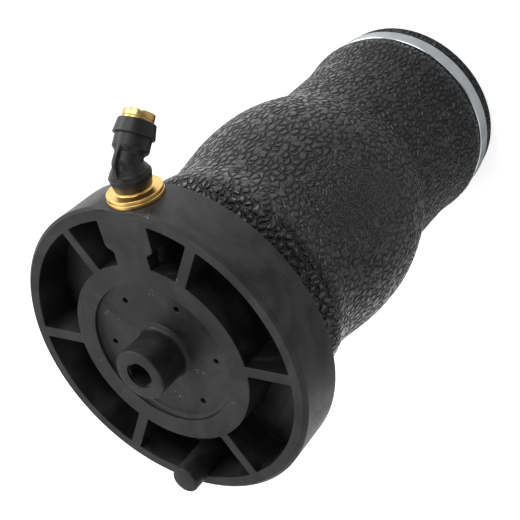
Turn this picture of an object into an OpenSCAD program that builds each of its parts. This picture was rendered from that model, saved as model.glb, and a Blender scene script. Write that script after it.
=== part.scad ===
// Air suspension spring: a moulded end plate, a rubber sleeve and a moulded lower closure,
// with a swivelling push-in elbow on the air port.
// It stands on its lower closure with the end plate on top, and the port looks along +X.

/* [Overall] */
// Height from the lower seat to the face of the end plate
height = 183; // [174:1:230]
// Travel from rest down to the bump stop
stroke = 60; // [30:1:70]

/* [End plate rim] */
// Radius of the rim at the mounting face
rim_r = 57; // [57:0.1:60]
// Radius of the rim at the back edge, which the mould's draft makes smaller
skirt_r = 56.3; // [55:0.1:57]
// Depth of the rim
skirt_depth = 19.8; // [17.8:0.1:22]
// Chamfer round the front edge
rim_chamfer = 1.2; // [0.4:0.1:2]
// Radius of the pockets' outer wall
pocket_r = 52.1; // [49:0.1:52.5]
// Depth of the pockets
pocket_depth = 15.2; // [10:0.1:16]
// Thickness of the radial ribs
rib_w = 4; // [2.5:0.1:6]
// Distance from the axis to the flat that the air port stands on
port_flat_x = 55.7; // [55.2:0.1:56.1]

/* [End plate hub] */
// Outer radius of the raised hub ring
hub_r = 35.3; // [34.8:0.1:37]
// Radius of the sunk floor inside the hub ring
recess_r = 27.5; // [24:0.5:30]
// Depth of the sunk floor
recess_depth = 2.1; // [1:0.1:3]
// Thickness of the hub floor
hub_floor = 4.5; // [3.5:0.1:5]
// Radius of the fillet round the sunk floor
recess_fillet = 1.4; // [0.5:0.1:1.6]
// Radius of the ring of small blind holes
dimple_pcd_r = 21.7; // [16:0.1:23]
// Radius of each small blind hole
dimple_r = 1; // [0.6:0.1:1.6]
// Depth of each small blind hole
dimple_depth = 3; // [1:0.1:3.2]

/* [Centre boss] */
// Radius of the centre boss
boss_r = 9.6; // [8.5:0.1:11]
// How far the boss stands proud of the mounting face
boss_h = 12.2; // [9:0.1:16]
// Fillet where the boss meets the floor
boss_fillet = 2.2; // [0.5:0.1:3]
// Size across flats of the hexagonal socket
hex_af = 8.5; // [7.6:0.1:9]
// Depth of the hexagonal socket, down to the insert
hex_depth = 10.5; // [9:0.5:12]
// Radius of the round lead-in of the socket
hex_lead_r = 5; // [4.5:0.1:6]
// Depth of the round lead-in
hex_lead_depth = 0.7; // [0.3:0.1:1.5]
// Radius of the core that holds the threaded insert, below the hub floor
core_r = 11.5; // [9.6:0.1:14]

/* [Locating pin] */
// Radius of the locating pin
pin_r = 5.1; // [3.5:0.1:5.5]
// Distance from the axis to the pin
pin_x = 49.7; // [44:0.1:50]
// How far the pin stands proud of the mounting face
pin_h = 7.1; // [4:0.1:12]
// How much wider the pin is at the pocket's floor than at the mounting face
pin_draft = 0.3; // [0.1:0.1:0.8]

/* [Air gallery] */
// Width of the gallery bridge at the rim
bridge_w = 20.8; // [18:0.1:24]
// Width of the bridge beside the hub
bridge_neck_w = 13.8; // [10:0.1:16]
// Distance from the axis at which the bridge steps in
bridge_step_x = 40.4; // [38.5:0.1:45]
// Rounding of the bridge's shoulder at that step
bridge_round = 2.4; // [1:0.1:2.8]
// Radius of the boss round the port, under the bridge
port_boss_r = 9; // [8:0.1:10]
// Depth of the port's axis below the mounting face
port_drop = 10.5; // [9.8:0.1:10.6]
// Radius of the air gallery
gallery_r = 3; // [2:0.1:3.4]

/* [Inserts] */
// Tapping radius of the upper thread, 3.4 for M8
top_thread_r = 3.4; // [2.5:0.05:3.7]
// Outer radius of the upper insert
top_insert_r = 6.5; // [5.5:0.1:7]
// Length of the upper insert
top_insert_len = 13; // [10:0.5:14]
// Tapping radius of the lower thread, 4.25 for M10
low_thread_r = 4.25; // [3.4:0.05:4.6]
// Outer radius of the lower insert
low_insert_r = 7.5; // [6.5:0.1:8.5]
// Length of the lower insert
low_insert_len = 15; // [13:0.5:17]
// Depth of thread in the lower insert
low_thread_len = 12; // [8:0.5:12]
// Depth of the anchoring groove round every insert
insert_groove = 0.6; // [0.3:0.1:0.9]

/* [Sleeve] */
// Thickness of the rubber
rubber_t = 3; // [2:0.1:3.4]
// Radius of the bead seats that the rubber is clamped on
seat_r = 34.65; // [33:0.05:34.7]
// Largest radius of the belly
belly_r = 45.6; // [44:0.1:52]
// Height of the lower end of the belly
belly_low_z = 93; // [84:0.5:94]
// Height of the upper end of the belly
belly_high_z = 97; // [95:0.5:101]
// Radius of the waist
waist_r = 38.2; // [36.5:0.1:41]
// Height of the lower end of the waist
waist_low_z = 35; // [28:0.5:40]
// Height of the crease where the belly starts
waist_high_z = 62; // [48:0.5:66]
// Radius of the small hump over the lower ring
hump_r = 39.8; // [38.9:0.1:42]
// Height of the small hump above the lower ring
hump_rise = 4.5; // [3:0.1:8]
// Radius of the neck behind the end plate
neck_r = 42.6; // [40:0.1:45]
// Depth of the neck below the mounting face
neck_drop = 56.5; // [53:0.5:60]
// Radius of the shoulder behind the end plate
shoulder_r = 44.5; // [41:0.1:48]
// Depth of the shoulder below the mounting face
shoulder_drop = 43; // [40:0.5:47]
// Height of the sleeve's lower edge above the lower seat
edge_z = 2.4; // [1.5:0.1:4]

/* [Crimp rings] */
// Width of a crimp ring
ring_w = 6.65; // [5:0.05:8]
// Thickness of a crimp ring's wall
ring_t = 1.35; // [0.8:0.05:2]
// Height of the lower ring above the sleeve's lower edge
ring_above_edge = 5.45; // [3:0.05:7]
// Depth of the upper ring's top edge below the mounting face
upper_ring_drop = 26; // [25:0.1:27.5]

/* [Lower closure] */
// Chamfer round the flat foot that the spring stands on
foot_chamfer = 1.25; // [0.6:0.05:2]
// Radius of the pockets' outer wall in the foot
foot_pocket_r = 27; // [22:0.1:29]
// Radius of the hub in the foot
foot_hub_r = 12.5; // [10:0.1:15]
// Depth of the pockets in the foot
foot_pocket_depth = 9; // [5:0.1:11]
// Thickness of the closure's floor
foot_floor = 4; // [2.5:0.1:6]
// Number of radial ribs in the foot
foot_ribs = 6; // [3:1:8]
// Height of the lower bead seat above the lower ring
seat_above_ring = 3; // [1:0.1:5]
// Radius of the air space inside both bead seats
bore_r = 30.4; // [27:0.1:31]

/* [Bump stop] */
// Radius of the bump stop at its foot
bump_foot_r = 22; // [18:0.5:26]
// Radius of the bump stop at its nose
bump_nose_r = 13; // [10:0.5:17]
// Number of ring-shaped lobes
bump_lobes = 4; // [2:1:6]
// Depth of the grooves between the lobes
bump_groove = 2.6; // [1:0.1:4]
// Radius of the closure's spigot that carries the bump stop
spigot_r = 9; // [7:0.1:10.5]
// Height of that spigot
spigot_h = 14; // [8:0.5:20]

/* [Port fitting] */
// Radius of the bush's flange
bush_flange_r = 9.65; // [8.5:0.05:9.75]
// Thickness of the bush's flange
bush_flange_t = 1.35; // [1.1:0.05:2]
// Radius of the bush inside the plate
bush_r = 6.4; // [5.8:0.1:7]
// Length of the bush inside the plate
bush_len = 13; // [9:0.5:15]
// Radius of the thread between bush and swivel post
post_thread_r = 4.4; // [3.8:0.1:4.6]
// Radius of the swivel post's flange
post_flange_r = 9.5; // [8:0.05:10]
// Thickness of the swivel post's flange
post_flange_t = 1.35; // [0.8:0.05:1.8]
// Radius of the neck between flange and elbow
post_neck_r = 5.9; // [4.5:0.1:6.2]
// Length of that neck
post_neck_len = 0.8; // [0.6:0.1:1.2]
// Radius of the stem that the elbow turns on
stem_r = 3.5; // [3.2:0.05:3.8]
// Length of the stem
stem_len = 6.4; // [6.2:0.1:6.8]
// Radius of the air passage through post and elbow
air_r = 1.8; // [1:0.1:2]
// Radial clearance of the pieces that turn or slide in each other
run_gap = 0.06; // [0.03:0.01:0.09]
// Free play along the axis between the neck and the elbow
end_gap = 0.3; // [0.2:0.05:0.6]

/* [Elbow] */
// Angle that the elbow turns through
bend_angle = 45; // [30:5:90]
// Distance from the spring's axis to the elbow's corner
bend_x = 67.4; // [67.3:0.1:70]
// Radius of the elbow's base
elbow_base_r = 7.15; // [6.4:0.05:7.4]
// Radius of the elbow at its lower end, where the taper starts
elbow_toe_r = 6.3; // [5.6:0.05:6.3]
// Length of the taper, up to the widest ring
elbow_taper = 4.2; // [3:0.1:4.6]
// Length of the base with its sloping shoulder
elbow_base_len = 7.9; // [7.4:0.1:8]
// Radius of the elbow at the bend
elbow_waist_r = 4.9; // [4:0.1:5.2]
// Radius of the outlet
outlet_r = 6.2; // [5.7:0.05:6.6]
// Distance from the corner to the start of the outlet's full width
outlet_start = 4.6; // [4:0.1:5]
// Length of the outlet, from the corner
outlet_len = 11; // [10.5:0.1:14]
// Thickness of the web on the outside of the bend
web_t = 1.3; // [0.8:0.1:2.5]

/* [Push-in cartridge] */
// Radius of the air tube that the socket takes
tube_r = 3.175; // [3:0.005:3.2]
// Radius of the bore for seal and grip
cartridge_r = 5; // [4.8:0.05:5.2]
// Distance from the corner to the seal's shoulder
seal_shoulder = 5.2; // [4.6:0.1:5.6]
// Distance from the corner to the tube's stop
tube_stop = 2; // [1.5:0.1:2.6]
// Length of the sleeve that supports the tube's end
support_len = 7.5; // [5:0.1:7.6]
// Diameter of the tube seal's section
seal_d = 1.8; // [1.6:0.05:1.8]
// Thickness of the grip ring's sheet
grip_t = 0.3; // [0.2:0.05:0.4]
// Number of teeth on the grip ring
grip_teeth = 10; // [6:1:14]
// Radius of the collar at its lower edge
collar_r = 7.15; // [6.7:0.05:7.6]
// Radius of the collar at its upper edge
collar_top_r = 6.4; // [5.9:0.05:6.6]
// Distance from the corner to the collar's lower edge
collar_low = 8.95; // [8.6:0.05:9.6]
// Distance from the corner to the collar's upper edge
collar_high = 14; // [14:0.1:16]
// Radius of the release collet's head
collet_r = 5.4; // [4.9:0.05:5.5]
// How far the release collet stands out of the collar
collet_proud = 3.2; // [2:0.1:4]
// Travel of the release collet
collet_travel = 1.2; // [0.6:0.1:1.3]

/* [Hidden] */
$fn = 72;

nylon = [0.16, 0.16, 0.17];
rubber = [0.10, 0.10, 0.11];
zinc = [0.78, 0.80, 0.82];
brass = [0.83, 0.66, 0.34];
urethane = [0.85, 0.80, 0.62];
steel = [0.62, 0.63, 0.65];
seal_rubber = [0.20, 0.20, 0.22];

face_z = height;
port_z = face_z - port_drop;
joint_gap = 0.3;
eps = 0.01;
over = 5;
rib_count = 6;
rib_first = 30;
pin_round = 0.8;
bridge_taper = 0.5;
bridge_notch = 0.6;
foot_r = seat_r - foot_chamfer;
ring_lip = 0.4;

// Crimp rings and the two bead seats
crimp_r = seat_r + rubber_t;
ring_r = crimp_r + ring_t;
low_ring_z = edge_z + ring_above_edge;
low_seat_top = low_ring_z + ring_w + seat_above_ring;
up_ring_top = face_z - upper_ring_drop;
up_ring_low = up_ring_top - ring_w;
up_seat_low = up_ring_low - seat_above_ring;
up_edge_z = min(up_ring_top + ring_above_edge, face_z - skirt_depth - joint_gap,
    port_z - port_boss_r - joint_gap);

// Insert places
top_insert_top = boss_h - hex_depth;
top_insert_low = top_insert_top - top_insert_len;
core_low = top_insert_low - 3.5;

// Port fitting stations, as distances from the spring's axis
bush_face_x = port_flat_x + bush_flange_t;
post_face_x = bush_face_x + post_flange_t;
neck_end_x = post_face_x + post_neck_len;
stem_end_x = neck_end_x + stem_len;
elbow_toe_x = neck_end_x + end_gap;

// One stretch of a smooth outline: a half cosine from a to b
function ease(t) = (1 - cos(180 * t)) / 2;
function arc(c, r, a0, a1, n = 6) =
    [for (i = [0:n]) c + r * [cos(a0 + (a1 - a0) * i / n), sin(a0 + (a1 - a0) * i / n)]];

// Places a piece whose own axis is Z on the port's axis, which is +X
module on_port()
    translate([0, 0, port_z])
    rotate([0, 90, 0])
    children();

// Places a piece whose own axis is Z on the outlet's axis, measured from the elbow's corner
module on_outlet()
    translate([bend_x, 0, port_z])
    rotate([0, 90 + bend_angle, 0])
    children();

// A ring seal of round section
module ring_seal(r, section_r)
    rotate_extrude()
    translate([r, 0])
    circle(section_r, $fn = 24);

// A moulded-in insert, full or as the cavity that it leaves, with an anchoring groove
module insert_blank(r, len)
    rotate_extrude()
    polygon([[0, 0], [r, 0], [r, len * 0.35], [r - insert_groove, len * 0.35 + insert_groove],
        [r - insert_groove, len * 0.65 - insert_groove], [r, len * 0.65], [r, len], [0, len]]);

// Grooves that grip the bead of the rubber, cut into a seat of radius r from z upwards
module bead_grooves(z)
    for (i = [0:2])
        translate([0, 0, z + ring_w * (i + 0.5) / 3])
        rotate_extrude()
        polygon([[seat_r + eps, -0.6], [seat_r - 0.5, 0], [seat_r + eps, 0.6]]);

// Half sections of the end plate, with the mounting face at 0
module pan_section()
    polygon([[hub_r - 1, -skirt_depth], [skirt_r, -skirt_depth], [rim_r, -rim_chamfer],
        [rim_r - rim_chamfer, 0], [pocket_r, 0], [pocket_r - 0.3, -pocket_depth],
        [hub_r - 1, -pocket_depth]]);

module hub_section() {
    roof = -recess_depth - hub_floor;
    polygon(concat(
        [[0, -recess_depth]],
        arc([recess_r - recess_fillet, recess_fillet - recess_depth], recess_fillet, -90, 0),
        [[recess_r, 0], [hub_r, 0], [hub_r, -skirt_depth], [seat_r, -skirt_depth],
            [seat_r, up_seat_low - face_z], [bore_r, up_seat_low - face_z]],
        arc([bore_r - 2, roof - 2], 2, 0, 90),
        [[core_r, roof], [core_r, core_low], [0, core_low]]));
}

module boss_section()
    polygon(concat(
        [[0, -recess_depth]],
        arc([boss_r + boss_fillet, boss_fillet - recess_depth], boss_fillet, -90, -180),
        [[boss_r, boss_h - 0.6]],
        arc([boss_r - 0.6, boss_h - 0.6], 0.6, 0, 90, 3),
        [[0, boss_h]]));

// The pin is straight above the mounting face and drafted below it, down to the pocket's floor
module pin_solid()
    translate([-pin_x, 0, 0])
    rotate_extrude()
    polygon(concat(
        [[0, -pocket_depth - eps], [pin_r + pin_draft, -pocket_depth - eps], [pin_r, 0]],
        arc([pin_r - pin_round, pin_h - pin_round], pin_round, 0, 90, 3),
        [[0, pin_h]]));

// The raised bridge over the gallery, wide at the rim and stepped in beside the hub
module bridge_solid() {
    wide = bridge_w / 2;
    neck = bridge_neck_w / 2;
    side = concat(
        [[rim_r - 3, wide]],
        arc([bridge_step_x + bridge_round, wide - bridge_taper - bridge_round], bridge_round, 90, 180),
        arc([bridge_step_x - bridge_notch - 0.2, neck + bridge_notch], bridge_notch, 30, -90, 3),
        [[recess_r + 3, neck]]);
    translate([0, 0, -skirt_depth])
        linear_extrude(skirt_depth)
        polygon(concat(side, [for (i = [len(side) - 1:-1:0]) [side[i].x, -side[i].y]]));
}

module top_plate()
    color(nylon)
    difference() {
        translate([0, 0, face_z])
            difference() {
                union() {
                    rotate_extrude($fn = 120)
                        union() {
                            pan_section();
                            hub_section();
                            boss_section();
                        }
                    for (i = [0:rib_count - 1])
                        rotate([0, 0, rib_first + i * 360 / rib_count])
                        translate([hub_r - 1, -rib_w / 2, -skirt_depth])
                        cube([pocket_r + 1 - hub_r + 1, rib_w, skirt_depth]);
                    bridge_solid();
                    pin_solid();
                    translate([hub_r - 2, 0, -port_drop])
                        rotate([0, 90, 0])
                        cylinder(r = port_boss_r, h = port_flat_x - hub_r + 2);
                }
                // The flat for the port
                translate([port_flat_x, -rim_r / 2, -skirt_depth - over])
                    cube([rim_r / 4, rim_r, skirt_depth + 2 * over]);
                // The small blind holes of the hub floor
                for (i = [0:rib_count - 1])
                    rotate([0, 0, rib_first + i * 360 / rib_count])
                    translate([dimple_pcd_r, 0, -recess_depth - dimple_depth])
                    cylinder(r = dimple_r, h = dimple_depth + 1, $fn = 24);
                // The hexagonal socket with its round lead-in
                translate([0, 0, top_insert_top])
                    cylinder(d = hex_af / cos(30), h = boss_h, $fn = 6);
                translate([0, 0, boss_h - hex_lead_depth])
                    cylinder(r = hex_lead_r, h = hex_lead_depth + 1);
                translate([0, 0, top_insert_low])
                    insert_blank(top_insert_r, top_insert_len);
                translate([0, 0, up_ring_low - face_z])
                    bead_grooves(0);
            }
        // The moulded-in bush and the gallery to the air space
        on_port() {
            translate([0, 0, port_flat_x - bush_len])
                insert_blank(bush_r, bush_len);
            translate([0, 0, port_flat_x - 0.5])
                cylinder(r = bush_r, h = 1);
            translate([0, 0, bore_r - 4])
                cylinder(r = gallery_r, h = port_flat_x - bush_len - bore_r + 5);
        }
    }

module top_insert()
    color(steel)
    translate([0, 0, face_z])
    difference() {
        translate([0, 0, top_insert_low])
            insert_blank(top_insert_r, top_insert_len);
        translate([0, 0, top_insert_low + 1.5])
            cylinder(r = top_thread_r, h = top_insert_len);
    }

// A steel band, with its edges turned a little
module crimp_ring()
    color(zinc)
    rotate_extrude($fn = 120)
    polygon([[crimp_r, 0], [ring_r - ring_lip, 0], [ring_r, ring_lip], [ring_r - 0.15, ring_w * 0.3],
        [ring_r - 0.15, ring_w * 0.7], [ring_r, ring_w - ring_lip], [ring_r - ring_lip, ring_w],
        [crimp_r, ring_w]]);

module upper_crimp_ring()
    translate([0, 0, up_ring_low])
    crimp_ring();

module lower_crimp_ring()
    translate([0, 0, low_ring_z])
    crimp_ring();

// The sleeve's outer surface: stations from the lower edge up, joined by half cosines.
// The belly rises from the waist in a quarter sine, which leaves a crease at its foot.
stations = [
    [edge_z, crimp_r],
    [low_ring_z + ring_w + 0.2, crimp_r],
    [low_ring_z + ring_w + 0.8, ring_r - ring_lip],
    [low_ring_z + ring_w + hump_rise, hump_r],
    [waist_low_z, waist_r],
    [waist_high_z, waist_r],
    [belly_low_z, belly_r],
    [belly_high_z, belly_r],
    [face_z - neck_drop, neck_r],
    [face_z - shoulder_drop, shoulder_r],
    [up_ring_low - 0.2, crimp_r - joint_gap],
    [up_edge_z, crimp_r - joint_gap]];
crease = 5;
sleeve_steps = 6;

module rubber_sleeve() {
    outer = [for (i = [0:len(stations) - 2]) for (k = [0:sleeve_steps - 1])
        let (t = k / sleeve_steps, a = stations[i], b = stations[i + 1],
            rise = i == crease ? sin(90 * t) : ease(t))
        [a.y + (b.y - a.y) * rise, a.x + (b.x - a.x) * t]];
    bead_t = rubber_t - 2 * joint_gap;
    top = stations[len(stations) - 1];
    last = len(outer) - 1;
    up_bead = up_ring_low - 0.2;
    color(rubber)
    rotate_extrude($fn = 120)
    polygon(concat(
        outer,
        [[top.y, top.x], [top.y - bead_t, top.x], [top.y - bead_t, up_seat_low - joint_gap]],
        [for (i = [last:-1:0]) if (outer[i].y < up_seat_low - 1.5) outer[i] - [rubber_t, 0]]));
}

module lower_closure()
    color(nylon)
    difference() {
        union() {
            rotate_extrude($fn = 120)
                polygon([[0, 0], [foot_r, 0], [seat_r, foot_chamfer], [seat_r, low_seat_top],
                    [bore_r, low_seat_top], [bore_r, foot_pocket_depth + foot_floor],
                    [0, foot_pocket_depth + foot_floor]]);
            cylinder(r = spigot_r, h = foot_pocket_depth + foot_floor + spigot_h);
        }
        difference() {
            translate([0, 0, -1])
                cylinder(r = foot_pocket_r, h = foot_pocket_depth + 1);
            translate([0, 0, -2])
                cylinder(r = foot_hub_r, h = foot_pocket_depth + 3);
            for (i = [0:foot_ribs - 1])
                rotate([0, 0, rib_first + i * 360 / foot_ribs])
                translate([0, -rib_w / 2, -2])
                cube([foot_pocket_r + 1, rib_w, foot_pocket_depth + 3]);
        }
        insert_blank(low_insert_r, low_insert_len);
        bead_grooves(low_ring_z);
    }

module lower_insert()
    color(steel)
    difference() {
        insert_blank(low_insert_r, low_insert_len);
        translate([0, 0, -1])
            cylinder(r = low_thread_r, h = low_thread_len + 1);
    }

// A lobed buffer that narrows towards its nose, on the closure's spigot
module bump_stop() {
    low = foot_pocket_depth + foot_floor;
    high = face_z + core_low - stroke - joint_gap - 0.2;
    body = high - low - 6;
    lobe = body / bump_lobes;
    steps = 8;
    color(urethane)
    difference() {
        translate([0, 0, low])
            rotate_extrude()
            polygon(concat(
                [[0, 0], [bump_foot_r, 0], [bump_foot_r, 6]],
                [for (i = [0:bump_lobes - 1]) for (k = [i == 0 ? 1 : 0:steps - 1])
                    let (t = k / steps,
                        r = bump_foot_r + (bump_nose_r - bump_foot_r) * (i + t) / bump_lobes)
                    [r - bump_groove * (1 - sin(180 * t)), 6 + (i + t) * lobe]],
                [[bump_nose_r - bump_groove, 6 + body - 0.5], [bump_nose_r - 4, 6 + body],
                    [0, 6 + body]]));
        translate([0, 0, low - 1])
            cylinder(r = spigot_r, h = spigot_h + 1);
    }
}

// The moulded-in bush with the larger of the two brass discs
module port_bush()
    color(brass)
    on_port()
    difference() {
        union() {
            translate([0, 0, port_flat_x - bush_len])
                insert_blank(bush_r, bush_len);
            translate([0, 0, port_flat_x])
                cylinder(r = bush_flange_r, h = bush_flange_t);
        }
        translate([0, 0, port_flat_x - bush_len - 1])
            cylinder(r = post_thread_r, h = bush_len + bush_flange_t + 2);
        translate([0, 0, bush_face_x - seal_groove])
            cylinder(r = post_thread_r + 2 * seal_groove, h = seal_groove + 1);
    }

seal_groove = 1;

module port_seal()
    color(seal_rubber)
    on_port()
    translate([0, 0, bush_face_x - seal_groove / 2])
    ring_seal(post_thread_r + seal_groove, seal_groove / 2 - 0.02);

// Stem features, as distances along the stem from the neck
clip_at = 1.5;
clip_w = 0.7;
stem_seal_at = 3.6;
stem_seal_d = 0.9;

// The screwed-in post with the smaller brass disc and the stem that the elbow turns on
module swivel_post()
    color(brass)
    on_port()
    difference() {
        union() {
            translate([0, 0, port_flat_x - bush_len + 2])
                cylinder(r = post_thread_r, h = bush_len + bush_flange_t - 2);
            translate([0, 0, bush_face_x])
                cylinder(r = post_flange_r, h = post_flange_t);
            translate([0, 0, post_face_x])
                cylinder(r = post_neck_r, h = post_neck_len);
            translate([0, 0, neck_end_x])
                cylinder(r = stem_r, h = stem_len);
        }
        translate([0, 0, port_flat_x - bush_len])
            cylinder(r = air_r, h = bush_len + stem_end_x);
        translate([0, 0, neck_end_x + clip_at - 0.1])
            rotate_extrude()
            translate([stem_r - 0.6, 0])
            square([1, clip_w + 0.2]);
        translate([0, 0, neck_end_x + stem_seal_at])
            rotate_extrude()
            translate([stem_r - stem_seal_d, 0])
            square([2, stem_seal_d + 0.4]);
    }

module swivel_seal()
    color(seal_rubber)
    on_port()
    translate([0, 0, neck_end_x + stem_seal_at + stem_seal_d / 2 + 0.2])
    ring_seal(stem_r - stem_seal_d / 2, stem_seal_d / 2);

// An open ring in the elbow's groove that holds the elbow on the stem
module swivel_clip()
    color(steel)
    on_port()
    translate([0, 0, neck_end_x + clip_at])
    difference() {
        cylinder(r = stem_r + 0.8, h = clip_w);
        translate([0, 0, -1])
            cylinder(r = stem_r - 0.45, h = clip_w + 2);
        translate([0, -1, -1])
            cube([stem_r + 2, 2, clip_w + 2]);
    }

// The balls at the corner, inside and out, are larger than their tubes by this much
corner_swell = 0.05;

// The solid form of the elbow, before its bores
module elbow_blank() {
    ring_x = elbow_toe_x + elbow_taper;
    base_top = elbow_toe_x + elbow_base_len;
    slope = elbow_base_r - 0.2 - elbow_waist_r;
    on_port()
        rotate_extrude()
        polygon(concat(
            [[0, elbow_toe_x], [elbow_toe_r - 0.2, elbow_toe_x], [elbow_toe_r, elbow_toe_x + 0.2],
                [elbow_base_r, ring_x - 0.15], [elbow_base_r, ring_x]],
            [for (i = [0:6])
                let (t = i / 6)
                [elbow_base_r - 0.2 - slope * pow(t, 1.3), ring_x + 0.2 + (base_top - ring_x - 0.2) * t]],
            [[elbow_waist_r, bend_x], [0, bend_x]]));
    translate([bend_x, 0, port_z])
        sphere(elbow_waist_r + corner_swell);
    on_outlet()
        rotate_extrude()
        polygon([[0, 0], [elbow_waist_r, 0], [elbow_waist_r, outlet_start - 1.4],
            [outlet_r, outlet_start], [outlet_r, outlet_len], [0, outlet_len]]);
    elbow_web();
}

// The web in the plane of the bend, on its outer side, from the base to the outlet
module elbow_web() {
    lift = elbow_base_r - 0.6;
    foot = elbow_toe_x + elbow_taper + 0.4 - bend_x;
    half = bend_angle / 2;
    out = [sin(bend_angle), cos(bend_angle)];
    along = [cos(bend_angle), -sin(bend_angle)];
    corner = lift / cos(half);
    translate([bend_x, web_t / 2, port_z])
        rotate([90, 0, 0])
        linear_extrude(web_t)
        polygon([[0, 0], [foot, 0], [foot, lift],
            [-corner * sin(half) * 0.2, lift],
            corner * [sin(half), cos(half)] * 0.97,
            out * lift + along * 1.2,
            out * (outlet_r - 0.1) + along * (outlet_start + 0.3),
            along * (outlet_start + 0.3)]);
}

module elbow_body()
    color(nylon)
    difference() {
        elbow_blank();
        on_port() {
            translate([0, 0, elbow_toe_x - 1])
                cylinder(r = stem_r + run_gap, h = stem_end_x + end_gap - elbow_toe_x + 1);
            translate([0, 0, stem_end_x])
                cylinder(r = air_r, h = bend_x - stem_end_x);
            translate([0, 0, neck_end_x + clip_at])
                cylinder(r = stem_r + 0.85, h = clip_w);
        }
        translate([bend_x, 0, port_z])
            sphere(air_r + corner_swell);
        on_outlet() {
            cylinder(r = air_r, h = outlet_len);
            translate([0, 0, tube_stop])
                cylinder(r = tube_r + 0.1, h = outlet_len);
            translate([0, 0, seal_shoulder])
                cylinder(r = cartridge_r, h = outlet_len);
        }
    }

// Stations of the cartridge, as distances along the outlet from the corner
spacer_low = seal_shoulder + seal_d;
spacer_floor = 0.6;
grip_z = spacer_low + 2;
cartridge_fit = 0.02;

// The brass sleeve that keeps the tube's end round
module tube_support()
    color(brass)
    on_outlet()
    difference() {
        union() {
            translate([0, 0, tube_stop])
                cylinder(r = tube_r, h = 0.6);
            translate([0, 0, tube_stop])
                cylinder(r = 2.1, h = support_len);
        }
        translate([0, 0, tube_stop - 1])
            cylinder(r = 1.6, h = support_len + 2);
    }

module tube_seal()
    color(seal_rubber)
    on_outlet()
    translate([0, 0, seal_shoulder + seal_d / 2])
    ring_seal(cartridge_r - cartridge_fit - seal_d / 2, seal_d / 2);

// The cup that holds the seal back and carries the grip ring's rim
module seal_spacer()
    color(nylon)
    on_outlet()
    translate([0, 0, spacer_low])
    rotate_extrude()
    polygon([[tube_r + 0.2, 0], [cartridge_r - cartridge_fit, 0],
        [cartridge_r - cartridge_fit, grip_z - spacer_low], [cartridge_r - 0.5, grip_z - spacer_low],
        [cartridge_r - 0.5, spacer_floor], [tube_r + 0.2, spacer_floor]]);

// The spring steel ring whose slanted teeth hold the tube
module grip_ring() {
    rim_in = cartridge_r - 0.55;
    tip_r = tube_r - 0.1;
    dip = 1.1;
    color(steel)
    on_outlet()
    translate([0, 0, grip_z])
    difference() {
        rotate_extrude()
            polygon([[cartridge_r - cartridge_fit, 0], [cartridge_r - cartridge_fit, grip_t],
                [rim_in, grip_t], [tip_r, grip_t - dip], [tip_r, -dip], [rim_in, 0]]);
        for (i = [0:grip_teeth - 1])
            rotate([0, 0, i * 360 / grip_teeth])
            translate([tip_r - 1, -0.25, -dip - 1])
            cube([rim_in - tip_r + 0.9, 0.5, dip + 2]);
    }
}

guide_r = cartridge_r - 0.65;
collar_step = outlet_len + 1.2;

// The collar that closes the cartridge and guides the release collet
module collar()
    color(nylon)
    on_outlet()
    rotate_extrude()
    polygon(concat(
        [[outlet_r, collar_low], [collar_r - 0.2, collar_low], [collar_r, collar_low + 0.3]],
        arc([collar_top_r - 0.5, collar_high - 0.5], 0.5, 0, 90, 4),
        [[collet_r + run_gap, collar_high], [collet_r + run_gap, collar_step],
            [guide_r, collar_step], [guide_r, grip_z + grip_t],
            [cartridge_r - cartridge_fit, grip_z + grip_t],
            [cartridge_r - cartridge_fit, outlet_len], [outlet_r, outlet_len]]));

// The brass collet that is pushed in to let the tube go
module release_collet() {
    head_low = collar_step + collet_travel + 0.3;
    head_top = collar_high + collet_proud;
    nose = grip_z + grip_t + collet_travel - 0.35;
    bore = tube_r + 0.08;
    color(brass)
    on_outlet()
    difference() {
        rotate_extrude()
            polygon(concat(
                [[bore, nose], [bore + 0.45, nose], [guide_r - run_gap, nose + 1],
                    [guide_r - run_gap, head_low], [collet_r, head_low],
                    [collet_r, collar_high + 0.6], [collet_r - 0.2, collar_high + 0.75],
                    [collet_r, collar_high + 0.9]],
                arc([collet_r - 0.4, head_top - 0.4], 0.4, 0, 90, 3),
                [[bore + 0.7, head_top], [bore, head_top - 0.7]]));
        for (a = [45:90:315])
            rotate([0, 0, a])
            translate([bore + 0.8, -0.45, head_top - 0.6])
            cube([collet_r, 0.9, 1]);
    }
}

top_plate();
top_insert();
upper_crimp_ring();
rubber_sleeve();
lower_crimp_ring();
lower_closure();
lower_insert();
bump_stop();
port_bush();
port_seal();
swivel_post();
swivel_seal();
swivel_clip();
elbow_body();
tube_support();
tube_seal();
seal_spacer();
grip_ring();
collar();
release_collet();
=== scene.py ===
import bpy
import bmesh
import math
from mathutils import Vector, Matrix


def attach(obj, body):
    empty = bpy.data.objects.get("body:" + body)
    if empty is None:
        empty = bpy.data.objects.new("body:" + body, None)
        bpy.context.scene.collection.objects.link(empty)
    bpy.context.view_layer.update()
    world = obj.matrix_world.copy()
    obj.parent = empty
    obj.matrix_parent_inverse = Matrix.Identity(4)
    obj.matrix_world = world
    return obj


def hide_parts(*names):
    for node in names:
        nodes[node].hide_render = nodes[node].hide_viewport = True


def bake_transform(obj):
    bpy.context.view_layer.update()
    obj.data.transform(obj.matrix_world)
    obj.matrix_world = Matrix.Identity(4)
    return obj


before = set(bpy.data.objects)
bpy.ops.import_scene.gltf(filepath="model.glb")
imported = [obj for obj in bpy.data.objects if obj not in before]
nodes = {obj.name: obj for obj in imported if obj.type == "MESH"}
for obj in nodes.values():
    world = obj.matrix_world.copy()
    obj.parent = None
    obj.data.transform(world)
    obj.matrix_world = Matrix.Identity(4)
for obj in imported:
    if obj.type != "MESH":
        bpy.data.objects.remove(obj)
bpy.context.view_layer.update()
mm = 0.001
print("frame loaded:", len(nodes), "nodes")

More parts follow.
